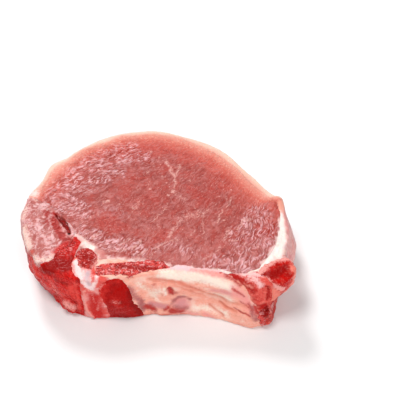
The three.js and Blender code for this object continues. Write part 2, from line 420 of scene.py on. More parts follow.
# The cut lean of the loin. The fat beside it shares this look where meat runs on over the seam.
lean = {
    "ridgeHeight": 0.22,
    "tangle": (13, 1.1, [(30, -36), (40, -32), (48, -22), (47, -12)]),  # reach, amount, path of curly grain
    "colour": (0.35, 0.055, 0.044),
    "lightColour": (0.44, 0.088, 0.073),
    "redColour": (0.46, 0.048, 0.035),
    "warmColour": (0.65, 0.115, 0.085),
    "darkColour": (0.24, 0.018, 0.014),
    "paleColour": (0.56, 0.19, 0.175),
    # painted sheen: the pale lavender of light caught on the wet fibre
    "paintedSheenColour": (0.84, 0.46, 0.48),
    "veinColour": (0.80, 0.42, 0.37),
    "orangeColour": (0.70, 0.155, 0.11),
    "creamColour": (0.95, 0.60, 0.48),
    "fatColour": (0.92, 0.62, 0.58),
    "fatEdge": [
        (2.5, 1.5, [(55.5, -8), (55.5, -13), (54, -20.5), (51.5, -27), (47, -33.5)]),
        (3.2, 0.9, [(-37, -17), (-34, -20.5), (-27, -26)]),
        (2.6, 1, [(-26, -30), (-17, -31.5), (-10, -32), (3.5, -33.5)]),
        (1.4, 0.8, [(3.5, -33.5), (14.5, -36), (21.5, -37.5), (26, -38.5)]),
    ],
    "veins": [
        (1.0, 0.65, [(3.5, 26.5), (3, 24.5), (5, 22.5), (5, 20.5), (7, 17)]),
        (0.9, 0.6, [(9.5, 23.5), (9, 21), (7, 17), (7.5, 14), (7, 9)]),
        (1.3, 0.35, [(7.5, 7), (10, 4), (12, 2)]), (1.3, 0.3, [(13, -4), (13, -9), (13.5, -11.5)]),
        (2.0, 0.4, [(19, -4), (16, -6), (12, -7.5), (9, -10.5)]),
        (1.2, 0.5, [(9, -10.5), (7.5, -14), (5, -18.5)]), (1.0, 0.35, [(4, -1), (0, -7), (-2, -10)]),
        (1.2, 0.45, [(22, -3.5), (20, -6), (17, -7.5)]),
        (0.9, 0.45, [(29, -4), (27.5, -7), (26.5, -10.5)]),
        (0.9, 0.45, [(32.5, 4), (32, 1), (31, -1.5)]),
        (1.4, 0.5, [(31.5, -14.5), (30.5, -18), (29.5, -19.5)]),
        (0.8, 0.3, [(17, -15), (14, -18.5), (13, -20.5)]),
        (1.0, 0.35, [(20, -4), (20, -10), (20.5, -16.5)]),
        (0.9, 0.4, [(28, -24.5), (25.5, -27), (19.5, -31)]), (0.8, 0.5, [(35, -20), (31.5, -21)]),
        (1.0, 0.6, [(41.5, -8), (38, -10), (35, -14)]),
        (1.6, 0.35, [(9, -20.5), (5.5, -20.5), (1.5, -23), (-3, -28)]),
        (1.0, 0.6, [(-7, -21.5), (-10.5, -25)]), (1.0, 0.6, [(-4.5, -26), (-8, -29)]),
        (0.9, 0.5, [(-12.5, -20), (-16, -22.5)]),
        (1.0, 0.5, [(-14.5, -25.5), (-17, -27), (-21, -26.5)]),
        (1.0, 0.7, [(-27, -17.5), (-28.5, -19)]), (1.2, 0.6, [(-22.5, 2), (-25, 1.5)]),
        (1.2, 0.35, [(-9, 2), (-10, -0.5), (-11, -2.5)]),
    ],
    "flecks": [
        (1.6, 1.1, [(6.5, 7.5)]), (1.0, 0.8, [(4.5, 5.5)]), (0.9, 0.7, [(-0.5, 28.5)]),
        (1.4, 0.6, [(-4.5, 32)]),
        (0.9, 0.6, [(-3, 24.5)]), (0.9, 0.7, [(1.5, 17)]), (0.7, 0.7, [(3.5, 13)]),
        (0.8, 0.6, [(14, 14)]),
        (0.8, 0.6, [(-7, 0)]), (0.7, 0.6, [(-4, 9)]), (0.7, 0.6, [(-7, 29)]), (1.1, 0.6, [(-9.5, 1)]),
        (1.3, 0.5, [(-5.5, 19.5)]), (0.7, 0.8, [(33, 9)]), (0.8, 0.8, [(29.5, -9.5)]),
        (1.0, 0.7, [(27.5, 26.5)]),
        (0.8, 0.6, [(30, 23)]), (0.7, 0.6, [(44.5, -3)]), (0.7, 0.5, [(18, 15.5)]),
        (1.0, 0.6, [(38, -16.5)]), (1.1, 0.7, [(38, -22)]), (0.8, 0.8, [(6, -16)]),
        (1.1, 0.7, [(44, -23.5)]),
    ],
    "redder": [
        (8, 1, [(-23, -9), (-19, -13)]), (5, 0.5, [(-31, -7.5)]), (6, 0.7, [(3, -18)]),
        (5, 0.5, [(-2, -22.5)]),
        (6, 0.5, [(28.5, -22)]), (8, 1.2, [(48.5, -14.5)]), (6, 0.9, [(45, -20)]),
        (11, 0.9, [(0, 36), (14, 33)]),
        (10, 1, [(-14, 32), (-4, 35)]), (5, 0.6, [(46, -2)]),
        (9, 0.5, [(-15, 5)]), (7, 0.9, [(-43.5, 22.5), (-33, 33)]), (8, 0.5, [(2, 23)]),
        (8, 0.5, [(-1, 2.5)]),
        (13, 0.55, [(29, 11)]), (8, 0.6, [(-13, 17.5)]), (7, 0.4, [(26, -33.5)]),
        (5, 0.4, [(39.5, -33)]),
        (6, 0.7, [(14, 8), (22, 2)]),
    ],
    # paler patches: partly the meat's own paler tone, partly painted sheen that lifts the colour in the wet
    # zones
    "palerAndSheen": [
        (10, 0.7, [(8, -25), (15, -29.5), (24, -30.5)]), (9, 0.4, [(8.5, -8.5)]),
        (8, 0.9, [(-47, 3), (-41.5, -0.5), (-35.5, -5)]),
        (6, 0.7, [(-35, -13), (-30, -20), (-22.5, -23.5), (-12.5, -24)]),
        (9, 0.7, [(-32, 23), (-26, 25), (-19, 23.5)]), (11, 1.3, [(34, -36), (43, -33), (48, -26)]),
        (6, 0.4, [(46, -3.5), (39, -13.5)]), (6, 0.5, [(4.5, -25.5), (-0.5, -29.5)]),
        (8, 0.5, [(-27, 15)]),
    ],
    # wet zones: glossier and with taller ridges, and where sheen and shade are painted into the colour
    "gleams": [
        (9, 1.4, [(-51, 4), (-43, 1), (-36, -4)]), (10, 1.5, [(-38, 22), (-28, 28), (-18, 30)]),
        (9, 1.1, [(-50, 9), (-45, 13), (-38, 19)]), (6, 0.9, [(-28, 33), (-14, 37)]),
        (9, 0.8, [(-38, 10), (-28, 15), (-20, 19)]), (7, 0.8, [(-14, 32), (-8, 29)]),
        (7, 1, [(-34, -14), (-26.5, -20), (-19, -23.5), (-8, -25)]), (8, 0.35, [(-28, -2), (-17, -5)]),
        (9, 1, [(46, -4), (42, -12), (36, -19)]), (12, 2, [(30, -37), (40, -34), (46, -29), (50, -20)]),
        (7, 0.5, [(-2, -26), (6, -23), (16, -28)]), (6, 0.4, [(-8, 20), (-4, 26)]),
    ],
}


def leanRidges(points):
    grain = grainPlaces(points)
    return softNoise(grain * (0.4, 1, 1), 1.4, 5) + 0.7 * softNoise(grain * (0.5, 1, 1), 0.85, 6)


# Paints the lean's masks on a piece and returns the height of its ridges
def paintLean(piece, points, topSide):
    below = 2 * (1 - topSide)
    # gleam marks the wet zones, which also carry the painted sheen and painted shade
    gleam = topSide * cover(brush(points, lean["gleams"], 1.5))
    ridges = leanRidges(points)
    veins = np.maximum(brush(points, lean["veins"], 0.6), brush(points, lean["flecks"], 0.2))
    paint(piece, "vein", veins - below)
    paint(piece, "fatEdge", brush(points, lean["fatEdge"], 0.6) - below)
    paint(piece, "redder", brush(points, lean["redder"], 1.5) - below)
    paint(piece, "palerAndSheen", brush(points, lean["palerAndSheen"], 1.5) - below)
    paint(piece, "gleam", gleam)
    paint(piece, "ridge", ridges)
    paint(piece, "rim", rimFade(points))
    paint(piece, "warm", smoothStep(20 - distanceTo(points, outerEdge), 0, 13))
    paintPlaces(piece, "grain", grainPlaces(points))
    return lean["ridgeHeight"] * ridges * (0.25 + 0.75 * gleam) * topSide


# Colour and bump height of the lean, with painted sheen and painted shade laid into the colour of the wet
# zones
def leanTones(tree):
    grain = paintedPlaces(tree, "grain")
    place = inMillimetres(tree)
    rim = painted(tree, "rim")
    gleam = painted(tree, "gleam")
    broad = lumps(tree, place, 7, 2)
    blotchy = lumps(tree, grain, 2.8, 2, 0.6, (0.6, 1, 1), 0.5)
    patchy = lumps(tree, grain, 1.3, 3, 0.6, (0.5, 1, 1), 0.3)
    fine = lumps(tree, grain, 0.6, 2, 0.6, (0.55, 1, 1))
    dash = lumps(tree, grain, 0.7, 2, 0.55, (0.3, 1, 1), 0.5)
    dots = ranged(tree, cells(tree, place, 2.4), 0.2, 0.06)
    # Painted sheen: pale dashes along the fibre, strongest in the wet zones
    shine = times(tree, ranged(tree, dash, 0.49, 0.63), ranged(tree, gleam, 0, 1, 0.06, 0.9))
    shine = times(tree, shine, ranged(tree, blotchy, 0.36, 0.56, 0.4, 1))
    # Painted shade: dark gaps between the fibre dashes, faint everywhere and deepest beside the painted
    # sheen in the wet zones
    gap = times(tree, ranged(tree, dash, 0.46, 0.34), ranged(tree, gleam, 0, 1, 0.15, 0.45))
    warm = times(tree, painted(tree, "warm"), ranged(tree, broad, 0.3, 0.65, 0.5, 1))
    crest = ranged(tree, painted(tree, "ridge"), 0.1, 0.9)
    inRim = ranged(tree, rim, 0.9, 0.3)
    colour = layered(
        tree, lean["colour"],
        (ranged(tree, broad, 0.35, 0.68), lean["lightColour"]),
        (frayed(tree, "redder", broad, 0.5, 0.85), lean["redColour"]),
        (warm, lean["warmColour"]),
        # paler meat, and painted sheen lifting the colour in the wet zones
        (frayed(tree, "palerAndSheen", broad, 0.5, 0.6), lean["paleColour"]),
        (ranged(tree, blotchy, 0.5, 0.34, 0, 0.5), lean["redColour"]),
        (ranged(tree, blotchy, 0.5, 0.7, 0, 0.45), lean["paleColour"]),
        (ranged(tree, patchy, 0.46, 0.32, 0, 0.55), lean["darkColour"]),
        (ranged(tree, patchy, 0.52, 0.68, 0, 0.5), lean["paleColour"]),
        (ranged(tree, fine, 0.44, 0.32, 0, 0.4), lean["darkColour"]),
        (ranged(tree, fine, 0.58, 0.74, 0, 0.45), lean["veinColour"]),
        (times(tree, dots, ranged(tree, patchy, 0.45, 0.65, 0, 0.6)), lean["veinColour"]),
        # painted shade between the fibre dashes
        (gap, lean["darkColour"]),
        # painted sheen on the ridge crests and fibre dashes of the wet zones
        (times(tree, crest, times(tree, gleam, 0.3)), lean["paintedSheenColour"]),
        (shine, lean["paintedSheenColour"]),
        (frayed(tree, "vein", fine, 1.6, 0.75), lean["veinColour"]),
        (frayed(tree, "fatEdge", patchy, 1.4, 0.9), lean["fatColour"]),
        (ranged(tree, rim, 1.0, 0.3, 0, 0.9), lean["orangeColour"]),
        (times(tree, ranged(tree, fine, 0.5, 0.7, 0, 0.5), inRim), lean["creamColour"]),
        (times(tree, ranged(tree, patchy, 0.45, 0.32, 0, 0.5), inRim), lean["redColour"]),
        (ranged(tree, rim, 0.65, 0.2, 0, 0.3), lean["creamColour"]),
        (ranged(tree, rim, 0.3, 0.0), lean["creamColour"]),
    )
    height = times(tree, dash, ranged(tree, gleam, 0, 1, 0.5, 1.7))
    height = maths(tree, "ADD", height, times(tree, fine, 0.6))
    height = maths(tree, "ADD", height, times(tree, patchy, 0.5))
    return colour, height


# The loin eye
loinEye = {
    "voxel": 0.72,
    "smoothing": 2,
    "lumps": [(16, 0.3, 1), (5, 0.14, 2)],
    "gloss": 0.2,
    "roughness": (0.45, 0.24),  # dry, wet
    "slitBank": 1.2,
}
slitPath = [(-50, -5), (-46, -10), (-42, -15), (-38, -19)]


# 1 on the banks of the slit in the side muscle, under the level of the upper face
def besideSlit(points, reach, path):
    near = smoothStep(reach - distanceTo(points, path), 0, 1.5)
    return near * smoothStep(27.4 - points[:, 2], 0, 1.2) * smoothStep(points[:, 2], 23, 25)


eye = copyOfNode("loin_eye", "loinEyeMuscle")
closeSeams(eye, "loin_eye")
refine(eye, loinEye["voxel"], loinEye["smoothing"], 26.5)
points = readPoints(eye)
topSide = smoothStep(points[:, 2], 24, 26.5)
bank = loinEye["slitBank"] * besideSlit(points, 6, slitPath[1:])
raiseSurface(eye, relief(points, loinEye["lumps"]) + paintLean(eye, points, topSide) + bank)
paint(eye, "hollow", besideSlit(points, 8, slitPath))


def rawLoinLean():
    material = newMaterial("rawLoinLean")
    tree = material.node_tree
    colour, height = leanTones(tree)
    colour = layered(tree, colour, (painted(tree, "hollow"), (0.42, 0.03, 0.024)))
    roughness = ranged(tree, painted(tree, "gleam"), 0, 1, *loinEye["roughness"])
    wetSurface(tree, colour, roughness, height, 0.42, 0.25, loinEye["gloss"])
    return material


finishPiece(eye, "loin_eye", rawLoinLean())

# The fat round the eye, over the rib and along the right end
fatCap = {
    "voxel": 0.5,
    "smoothing": 3,
    "lumps": [(14, 0.3, 11), (4, 0.14, 12)],
    "forms": [
        (4, 1.4, [(54, 3.5, 28)]), (1.8, -0.7, [(59, -5, 27), (61, -11, 18), (61, -14, 8)]),
        (1.8, -0.6, [(58, -15, 27), (61, -20, 18), (61, -22, 8)]),
    ],
    "fatColour": (0.92, 0.62, 0.56),
    "whiteColour": (0.98, 0.80, 0.74),
    "pinkColour": (0.70, 0.27, 0.26),
    "knobColour": (0.84, 0.37, 0.28),
    "lilacColour": (0.92, 0.58, 0.58),
    "wallColour": (0.68, 0.235, 0.23),
    "stainColour": (0.56, 0.14, 0.12),
    "hollowColour": (0.42, 0.03, 0.024),
    "fatty": [
        (3, 1, [(-34, -20), (-30.5, -23.5), (-26, -27.5)]), (3, 1, [(-61, 9), (-56, 7)]),
        (3.0, 1.2, [(-27, -30), (-26, -34)]),
        (2.6, 1.3, [(-26, -33), (-21, -34), (-14, -34.5)]),
        (1.8, 1.2, [(-14, -34.5), (-6.5, -34.5), (4, -34.5)]),
        (2.0, 0.9, [(-36, -20), (-35.5, -24), (-36, -30), (-34, -36)]),
        (3.5, 1.2, [(4, -36), (20, -38), (38, -38)]),
        (5.5, 2, [(58, 0), (58, -12), (57, -22)]), (6, 1.8, [(54, -27), (48, -35), (38, -41)]),
    ],
    "white": [
        (2.4, 0.6, [(-32, -22.5), (-30, -24), (-27, -26.5)]), (1.8, 0.6, [(-24, -32.5), (-14, -34)]),
        (2.4, 1, [(54.5, -5), (55, -11)]), (4, 1.2, [(54.5, -13), (54, -20), (52, -27)]),
        (3, 0.9, [(52, -27), (46, -33), (43, -35)]),
    ],
    "pink": [
        (3, 0.9, [(-37, -22), (-35.5, -27)]), (2.2, 0.6, [(-28, -31), (-24, -36)]),
        (3, 0.8, [(-36, -19), (-31, -23)]), (3, 1, [(57.5, -1), (59, -10), (59.5, -18)]),
    ],
    "knobTint": [(5, 1.2, [(50, 6), (54, 4), (56, 0)])],
    "lilac": [(3, 1.3, [(3, -35.5), (12, -37), (20, -38.5), (34, -41)])],
    "stain": [(2.4, 1.3, [(-26, -26.5), (-24, -28.5), (-23, -31)])],
    "wallStain": [
        (5.5, 1.3, [(59, -29, 26), (59, -29, 17), (58, -31, 2)]), (5, 1.1, [(-61, 5, 24), (-61, 5, 2)]),
    ],
}

fat = copyOfNode("fat_cap", "outerFat")
closeSeams(fat, "fat_cap")
refine(fat, fatCap["voxel"], fatCap["smoothing"])
points = readPoints(fat)
topSide = smoothStep(points[:, 2], 25.5, 27.5)
bank = loinEye["slitBank"] * besideSlit(points, 6, slitPath[1:])
raiseSurface(fat, relief(points, fatCap["lumps"], fatCap["forms"]) + paintLean(fat, points, topSide) + bank)
paint(fat, "hollow", besideSlit(points, 8, slitPath))
paint(fat, "wall", 1 - topSide)
rightEdge = 55.5 - 0.1 * np.maximum(0, -18 - points[:, 1])
rightWall = smoothStep(points[:, 0] - rightEdge, 0, 2.5)
paint(fat, "rightWall", np.maximum(rightWall, (1 - topSide) * smoothStep(points[:, 0], 42, 50)))
fatty = np.maximum(brush(points, fatCap["fatty"], 0.7), 2.4 * (1 - topSide) - 0.6)
paint(fat, "fatty", fatty - 4 * smoothStep(6 - distanceTo(points, slitPath[:3]), 0, 2))
for mask in ("white", "pink", "knobTint", "lilac", "stain"):
    paint(fat, mask, brush(points, fatCap[mask], 0.6) - 2 * (1 - topSide))
paint(fat, "wallStain", brush(points, fatCap["wallStain"], 1.5))


def rawFat():
    material = newMaterial("rawFat")
    tree = material.node_tree
    place = inMillimetres(tree)
    broad = lumps(tree, place, 6, 3)
    fine = lumps(tree, place, 0.8, 3)
    veined = lumps(tree, place, 2.6, 3, 0.6, (1, 1, 0.45), 0.8)
    wall = painted(tree, "wall")
    rightWall = times(tree, painted(tree, "rightWall"), ranged(tree, veined, 0.35, 0.65, 0.35, 1))
    colour = layered(
        tree, fatCap["fatColour"],
        (ranged(tree, broad, 0.38, 0.7, 0, 0.5), fatCap["whiteColour"]),
        (times(tree, wall, ranged(tree, broad, 0.4, 0.65, 0.15, 0.6)), fatCap["pinkColour"]),
        (times(tree, wall, ranged(tree, veined, 0.5, 0.7, 0, 0.5)), fatCap["whiteColour"]),
        (rightWall, fatCap["wallColour"]),
        (ranged(tree, fine, 0.45, 0.3, 0, 0.35), fatCap["pinkColour"]),
        (frayed(tree, "pink", fine, 0.8, 0.8), fatCap["pinkColour"]),
        (frayed(tree, "white", fine, 0.6), fatCap["whiteColour"]),
        (frayed(tree, "lilac", fine, 0.8), fatCap["lilacColour"]),
        (frayed(tree, "knobTint", fine, 1.0), fatCap["knobColour"]),
        (frayed(tree, "wallStain", veined, 2.4, 0.85), fatCap["stainColour"]),
    )
    leanColour, leanHeight = leanTones(tree)
    fatty = frayed(tree, "fatty", fine, 1.2)
    mixed = {0: fatty, 6: leanColour, 7: colour}
    colour = addNode(tree, "ShaderNodeMix", mixed, data_type="RGBA").outputs[2]
    stain = frayed(tree, "stain", fine, 1.2, 0.8)
    colour = layered(
        tree, colour, (stain, fatCap["stainColour"]), (painted(tree, "hollow"), fatCap["hollowColour"]),
    )
    height = maths(tree, "ADD", veined, times(tree, fine, 0.5))
    height = addNode(tree, "ShaderNodeMix", {0: fatty, 2: leanHeight, 3: height}).outputs[0]
    wetSurface(tree, colour, ranged(tree, fine, 0.3, 0.7, 0.34, 0.48), height, 0.3, 0.3, 0.22)
    return material


finishPiece(fat, "fat_cap", rawFat())

# The pale muscle at the left end, with the dark slit in it
sideMuscle = {
    "voxel": 0.42,
    "smoothing": 2,
    "lumps": [(6, 0.35, 31), (2.2, 0.2, 32)],
    "slitFill": (2.1, 3.0),  # upper end, lower end
    "leanColour": (0.58, 0.19, 0.175),
    "paleColour": (0.82, 0.48, 0.48),
    "darkColour": (0.42, 0.08, 0.066),
    "redColour": (0.42, 0.10, 0.085),
    "wallColour": (0.58, 0.014, 0.011),
    "slitColour": (0.42, 0.022, 0.017),
    "creamColour": (0.93, 0.66, 0.58),
    "hollowColour": (0.28, 0.010, 0.008),
    "redEdgeColour": (0.68, 0.10, 0.07),
    "glintColour": (0.74, 0.22, 0.2),
    "speckColour": (0.86, 0.3, 0.27),
    "slit": [
        (2.4, 1.3, [(-46.5, -8), (-45.5, -12), (-43.5, -16.5), (-41, -20), (-37.5, -20.5)]),
        (1.5, 1, [(-47, -5), (-44, -7), (-41, -9)]), (2.2, 0.6, [(-50, -4.5), (-49.5, -11)]),
    ],
    "bone": [(3.6, 1.4, [(-40.5, -23.5), (-43, -27)])],
    "dark": [
        (4, 0.7, [(-57, 0), (-57, -5)]), (4.5, 0.9, [(-50, -4), (-50.5, -13)]),
        (2, 0.8, [(-55, -12.5), (-54, -17.5)]), (1.8, 0.7, [(-51.5, -16.5), (-47, -17)]),
        (3.6, 0.6, [(-51.5, -22)]), (2.4, 0.6, [(-50, -26.5)]), (2.4, 0.6, [(-45.5, -23.5)]),
    ],
    "pale": [
        (2.4, 0.6, [(-44, -8), (-40.5, -12), (-37.5, -16)]),
        (2, 0.5, [(-53.5, -8), (-53, -14), (-51, -18)]),
        (1.8, 0.5, [(-51, -18), (-46, -19.5), (-44, -23)]), (3, 0.5, [(-50, 1), (-54, -2)]),
        (2.4, 0.5, [(-47, -29), (-44.5, -26)]),
    ],
    "cream": [
        (1.6, 0.6, [(-60.5, 0), (-60.5, -8)]), (3, 1, [(-59.5, -13), (-58.5, -18), (-57, -23)]),
        (1.6, 0.8, [(-55, -28), (-51.5, -31), (-48, -30.5), (-45.5, -28.5)]),
        (3, 1, [(-61, 8), (-57, 6), (-53, 5)]),
    ],
    "redEdge": [(3, 0.7, [(-55.5, -26.5)])],
    "wallPale": [
        (5, 1.1, [(-62, 4, 25), (-62, 4, 2)]), (3, 0.5, [(-61, -6, 20), (-61.5, -10, 9)]),
        (2.4, 0.6, [(-60, -17, 22), (-60, -19, 14)]), (2.6, 0.4, [(-61.5, -2, 10), (-61, -5, 3)]),
    ],
    "wallDark": [
        (3.4, 0.9, [(-59, -23.5, 24), (-59, -23.5, 2)]),
        (3, 0.6, [(-61.5, -9, 24), (-61, -14, 12), (-61, -12, 3)]),
    ],
}

side = copyOfNode("spine_muscle", "sideMuscle")
closeSeams(side, "spine_muscle")
refine(side, sideMuscle["voxel"], sideMuscle["smoothing"])
points = readPoints(side)
seams = ridged(points, 4.5, 35) * smoothStep(points[:, 2], 20, 26)
hollow = besideSlit(points, 6, slitPath)
upperFill, lowerFill = sideMuscle["slitFill"]
fill = upperFill + (lowerFill - upperFill) * smoothStep(-points[:, 1], 9, 13)
raiseSurface(side, relief(points, sideMuscle["lumps"]) + 0.25 * seams + fill * hollow)
topSide = smoothStep(points[:, 2], 22.5, 26)
for mask in ("slit", "dark", "pale", "cream", "redEdge", "bone"):
    paint(side, mask, brush(points, sideMuscle[mask], 0.7) - 2 * (1 - topSide))
paint(side, "hollow", hollow)
glint = smoothStep(3.4 - distanceTo(points, [(-46, -9), (-42.5, -15.5), (-38, -20)]), 0, 3)
paint(side, "slitGlint", glint * topSide)
paint(side, "seam", seams)
paint(side, "wall", 1 - smoothStep(points[:, 2], 23, 26.5))
for mask in ("wallPale", "wallDark"):
    paint(side, mask, brush(points, sideMuscle[mask], 1.5))
paintPlaces(side, "grain", grainPlaces(points))


def paleSideLean():
    material = newMaterial("paleSideLean")
    tree = material.node_tree
    place = inMillimetres(tree)
    grain = paintedPlaces(tree, "grain")
    broad = lumps(tree, place, 5, 2, twist=0.5)
    patchy = lumps(tree, place, 3.4, 3, 0.6, twist=0.6)
    fine = lumps(tree, place, 0.7, 2, 0.6)
    dash = lumps(tree, grain, 0.9, 2, 0.55, (0.5, 1, 1), 0.8)
    sinew = lumps(tree, place, 2.2, 3, 0.6, (1, 1, 0.35), 0.8)
    bone = frayed(tree, "bone", fine, 1.0)
    slit = frayed(tree, "slit", patchy, 1.6)
    seam = times(tree, ranged(tree, painted(tree, "seam"), 0.4, 0.95, 0, 0.6), ranged(tree, fine, 0.3, 0.6))
    wall = times(tree, painted(tree, "wall"), ranged(tree, patchy, 0.35, 0.6, 0.92, 1))
    glint = times(tree, painted(tree, "slitGlint"), ranged(tree, dash, 0.5, 0.7, 0, 0.5))
    colour = layered(
        tree, sideMuscle["leanColour"],
        (ranged(tree, broad, 0.5, 0.36, 0, 0.6), sideMuscle["redColour"]),
        (ranged(tree, patchy, 0.5, 0.36, 0, 0.7), sideMuscle["darkColour"]),
        (ranged(tree, patchy, 0.52, 0.68, 0, 0.8), sideMuscle["paleColour"]),
        (frayed(tree, "dark", fine, 1.2, 0.85), sideMuscle["redColour"]),
        (frayed(tree, "pale", dash, 2.4, 0.9), sideMuscle["paleColour"]),
        (seam, sideMuscle["paleColour"]),
        (ranged(tree, dash, 0.51, 0.64, 0, 0.75), sideMuscle["paleColour"]),
        (ranged(tree, dash, 0.46, 0.34, 0, 0.7), sideMuscle["darkColour"]),
        (frayed(tree, "cream", fine, 2.0, 0.85), sideMuscle["creamColour"]),
        (frayed(tree, "redEdge", fine, 0.8), sideMuscle["redEdgeColour"]),
        (slit, sideMuscle["slitColour"]),
        (times(tree, slit, ranged(tree, dash, 0.52, 0.4, 0, 0.8)), sideMuscle["hollowColour"]),
        (glint, sideMuscle["glintColour"]),
        (bone, sideMuscle["wallColour"]),
        (times(tree, bone, ranged(tree, fine, 0.46, 0.34)), sideMuscle["hollowColour"]),
        (times(tree, bone, ranged(tree, fine, 0.58, 0.7, 0, 0.8)), sideMuscle["speckColour"]),
        (wall, sideMuscle["wallColour"]),
        (times(tree, wall, ranged(tree, sinew, 0.5, 0.66, 0, 0.5)), sideMuscle["redEdgeColour"]),
        (times(tree, wall, ranged(tree, sinew, 0.46, 0.34, 0, 0.7)), sideMuscle["hollowColour"]),
        (times(tree, wall, frayed(tree, "wallDark", sinew, 1.4, 0.8)), sideMuscle["hollowColour"]),
        (times(tree, wall, frayed(tree, "wallPale", sinew, 2.4, 0.85)), sideMuscle["paleColour"]),
        (painted(tree, "hollow"), sideMuscle["hollowColour"]),
    )
    height = maths(tree, "ADD", dash, times(tree, fine, 0.6))
    height = maths(tree, "ADD", height, times(tree, patchy, 0.6))
    wetSurface(tree, colour, ranged(tree, fine, 0.3, 0.7, 0.24, 0.4), height, 0.5, 0.25, 0.22)
    return material


finishPiece(side, "spine_muscle", paleSideLean())


# Spongy bone and blood-red meat share one finish; a mask called sponge says where the bone shows
def bloodRed(name, part):
    material = newMaterial(name)
    tree = material.node_tree
    place = inMillimetres(tree)
    sponge = painted(tree, "sponge")
    pores = lumps(tree, place, part["poreSize"], 2, 0.6, (0.8, 1, 1), 1.5)
    specks = lumps(tree, place, 0.8 * part["poreSize"], 1, 0.5, (0.6, 1, 1), 1.2)
    patchy = lumps(tree, place, 4, 3, 0.6)
    blotchy = lumps(tree, place, 1.8, 3, 0.6, twist=0.5)
    fine = lumps(tree, place, 0.7, 2, 0.6)
    fibre = lumps(tree, place, 1.1, 2, 0.55, part["fibreStretch"], 0.5)
    meat = layered(
        tree, part["colour"],
        (ranged(tree, patchy, 0.52, 0.32, 0, 0.7), part["darkColour"]),
        (ranged(tree, fine, 0.47, 0.34, 0, part["mottle"]), part["darkColour"]),
        (ranged(tree, fibre, 0.52, 0.72, 0, part["mottle"]), part["lightColour"]),
        (frayed(tree, "dark", blotchy, 1.0), part["darkColour"]),
        (frayed(tree, "light", blotchy, 1.4, 0.9), part["lightColour"]),
        (frayed(tree, "pale", fine, 1.4, 0.9), part["paleColour"]),
        (ranged(tree, fine, 0.62, 0.76, 0, part["mottle"]), part["lightColour"]),
    )
    dark = frayed(tree, "dark", blotchy, 1.2, 0.85)
    bone = layered(
        tree, part["marrowColour"],
        (ranged(tree, blotchy, 0.5, 0.36, 0, 0.85), part["darkColour"]),
        (ranged(tree, blotchy, 0.54, 0.7, 0, 0.6), part["lightColour"]),
        (dark, part["darkColour"]),
        (ranged(tree, pores, 0.48, 0.38, 0, 0.85), part["poreColour"]),
        (ranged(tree, specks, 0.55, 0.66, 0, 0.75), part["speckColour"]),
        (ranged(tree, fine, 0.6, 0.74, 0, 0.4), part["speckColour"]),
        (times(tree, dark, 0.7), part["darkColour"]),
        (frayed(tree, "light", blotchy, 1.4, 0.9), part["lightColour"]),
        (frayed(tree, "pale", fine, 1.6, 0.85), part["paleColour"]),
    )
    colour = addNode(tree, "ShaderNodeMix", {0: sponge, 6: meat, 7: bone}, data_type="RGBA").outputs[2]
    height = maths(tree, "ADD", times(tree, pores, times(tree, sponge, 1.2)), times(tree, fibre, 0.6))
    height = maths(tree, "ADD", height, times(tree, fine, part["fineBump"]))
    wetSurface(tree, colour, ranged(tree, fine, 0.3, 0.7, 0.2, 0.36), height, 0.4, 0.2, part["gloss"])
    return material


def makeRedPiece(nodeName, part):
    piece = copyOfNode(nodeName, part["name"])
    closeSeams(piece, nodeName)
    refine(piece, part["voxel"], 2)
    points = readPoints(piece)
    sponge = np.maximum(cover(brush(points, part["sponge"], 0.6)), part["spongeAll"])
    grit = 0.09 * sponge * softNoise(points, 0.9, 41)
    if part["ragged"]:
        grit += 1.8 * cover(brush(points, part["ragged"])) * layeredNoise(points, 2.6, 43)
    raiseSurface(piece, relief(points, part["lumps"], part["relief"]) + grit)
    paint(piece, "sponge", sponge)
    for mask in ("dark", "light", "pale"):
        paint(piece, mask, brush(points, part[mask], 0.5))
    finishPiece(piece, nodeName, bloodRed(part["name"] + "Finish", part))


redMeat = {
    "voxel": 0.36,
    "poreSize": 1.2,
    "fibreStretch": (1, 1, 0.3),
    "spongeAll": 0.0,
    "sponge": [],
    "lumps": [(6, 0.3, 51), (2.5, 0.15, 52)],
    "relief": [],
    "ragged": [],
    "fineBump": 0.3,
    "mottle": 0.5,
    "gloss": 0.07,
    "colour": (0.60, 0.016, 0.012),
    "darkColour": (0.30, 0.004, 0.003),
    "lightColour": (0.78, 0.085, 0.065),
    "paleColour": (0.88, 0.38, 0.34),
    "marrowColour": (0.58, 0.025, 0.02),
    "poreColour": (0.26, 0.005, 0.004),
    "speckColour": (0.82, 0.31, 0.31),
    "dark": [],
    "light": [],
    "pale": [],
}

